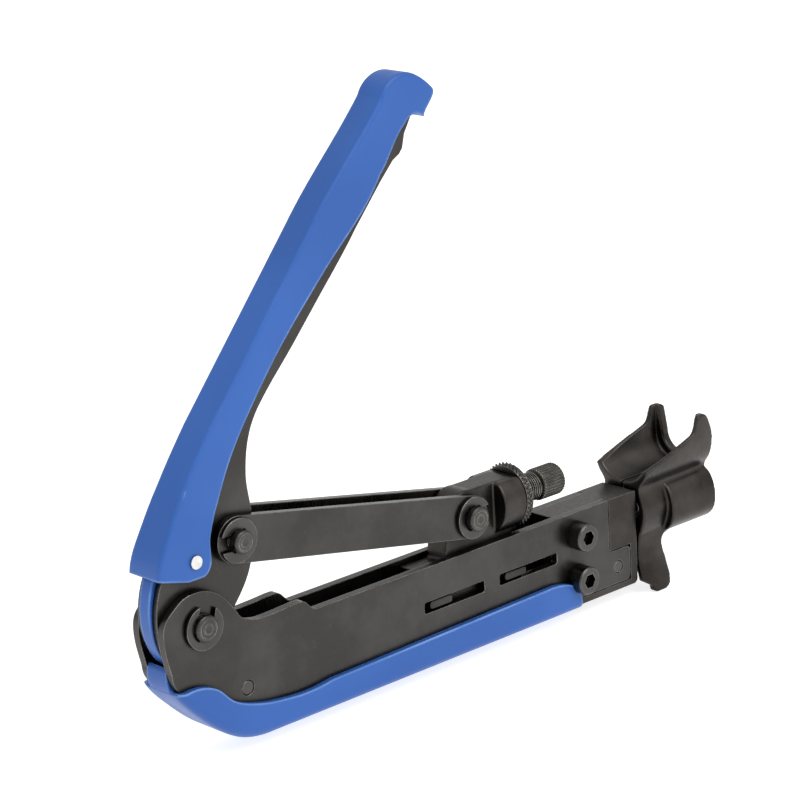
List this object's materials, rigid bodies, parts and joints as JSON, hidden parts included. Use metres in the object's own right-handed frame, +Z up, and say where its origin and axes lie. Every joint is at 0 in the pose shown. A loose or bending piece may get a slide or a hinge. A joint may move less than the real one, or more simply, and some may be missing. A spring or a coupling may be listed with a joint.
{
  "type": "coaxial connector compression crimper",
  "caption": "Hand lever crimper that presses a plunger tip along a split cable jaw to seat compression connectors, shown open with blue grips.",
  "frame": {"origin": "on the compression axis, at the front edge of the cable notch between the jaws", "axes": "+X along the compression axis, the way the cable leaves the jaws; +Z up towards the lever; +Y across the tool"},
  "size_m": [0.2149, 0.0226, 0.175],
  "materials": {
    "dark_steel": "dark oxide, satin",
    "cast_jaw": "dark oxide over a cast skin",
    "blue_grip": "smooth, slightly satin",
    "bright_rivet": "bright",
    "spring_wire": "drawn wire"
  },
  "bodies": {
    "frame": {"side_plate_near": "dark_steel", "side_plate_far": "dark_steel", "head_block": "dark_steel", "lower_grip": "blue_grip", "main_pivot_pin": "dark_steel", "main_pivot_clip": "dark_steel", "head_screws": "dark_steel", "head_nuts": "dark_steel", "head_dowel": "dark_steel", "rear_rivet": "dark_steel", "jaw_pins": "dark_steel", "jaw_springs": "spring_wire"},
    "lever": {"lever_plate_near": "dark_steel", "lever_plate_far": "dark_steel", "lever_core": "dark_steel", "grip_tail": "blue_grip", "upper_grip": "blue_grip", "grip_rivet": "bright_rivet", "lever_pin": "dark_steel", "lever_pin_clip": "dark_steel"},
    "link": {"link_plate_near": "dark_steel", "link_plate_far": "dark_steel", "plunger_pin": "dark_steel", "plunger_pin_clip": "dark_steel"},
    "carriage": {"plunger_carriage": "dark_steel"},
    "ring": {"lock_ring": "dark_steel"},
    "stud": {"tip_stud": "dark_steel"},
    "tip": {"knurled_tip": "dark_steel"},
    "near_jaw": {"jaw_near": "cast_jaw"},
    "far_jaw": {"jaw_far": "cast_jaw"}
  },
  "joints": [
    {"name": "lever_swing", "type": "hinge", "parent": "frame", "child": "lever", "pos_m": [-0.198, 0, -0.0035], "axis": [0, 1, 0], "range_deg": [-6, 45]},
    {"name": "link_swing", "type": "hinge", "parent": "lever", "child": "link", "pos_m": [-0.18431, 0, 0.01718], "axis": [0, 1, 0], "range_deg": [-55.5, 7.5]},
    {"name": "plunger_slide", "type": "slide", "parent": "frame", "child": "carriage", "axis": [1, 0, 0], "range_m": [-0.00164, 0.01221]},
    {"name": "lock_ring_spin", "type": "hinge", "parent": "carriage", "child": "ring", "pos_m": [-0.0764, 0, 0], "axis": [1, 0, 0], "continuous": true},
    {"name": "stud_travel", "type": "slide", "parent": "carriage", "child": "stud", "axis": [1, 0, 0], "range_m": [-0.0015, 0.0015]},
    {"name": "tip_spin", "type": "hinge", "parent": "stud", "child": "tip", "pos_m": [-0.0615, 0, 0], "axis": [1, 0, 0], "range_deg": [-540, 540]},
    {"name": "near_jaw_swing", "type": "hinge", "parent": "frame", "child": "near_jaw", "pos_m": [-0.0127, -0.0036, -0.0165], "axis": [1, 0, 0], "range_deg": [0, 12], "stiffness_Nm_per_rad": 0.05, "springref_deg": -20.05},
    {"name": "far_jaw_swing", "type": "hinge", "parent": "frame", "child": "far_jaw", "pos_m": [-0.0127, 0.0036, -0.0165], "axis": [-1, 0, 0], "range_deg": [0, 12], "stiffness_Nm_per_rad": 0.05, "springref_deg": -20.05}
  ],
  "couplings": [
    {"joint": "link_swing", "follows": "lever_swing", "ratio": -1.2285},
    {"joint": "plunger_slide", "follows": "lever_swing", "m_per_rad": 0.015534},
    {"joint": "tip_spin", "follows": "stud_travel", "rad_per_m": 6283.2}
  ]
}
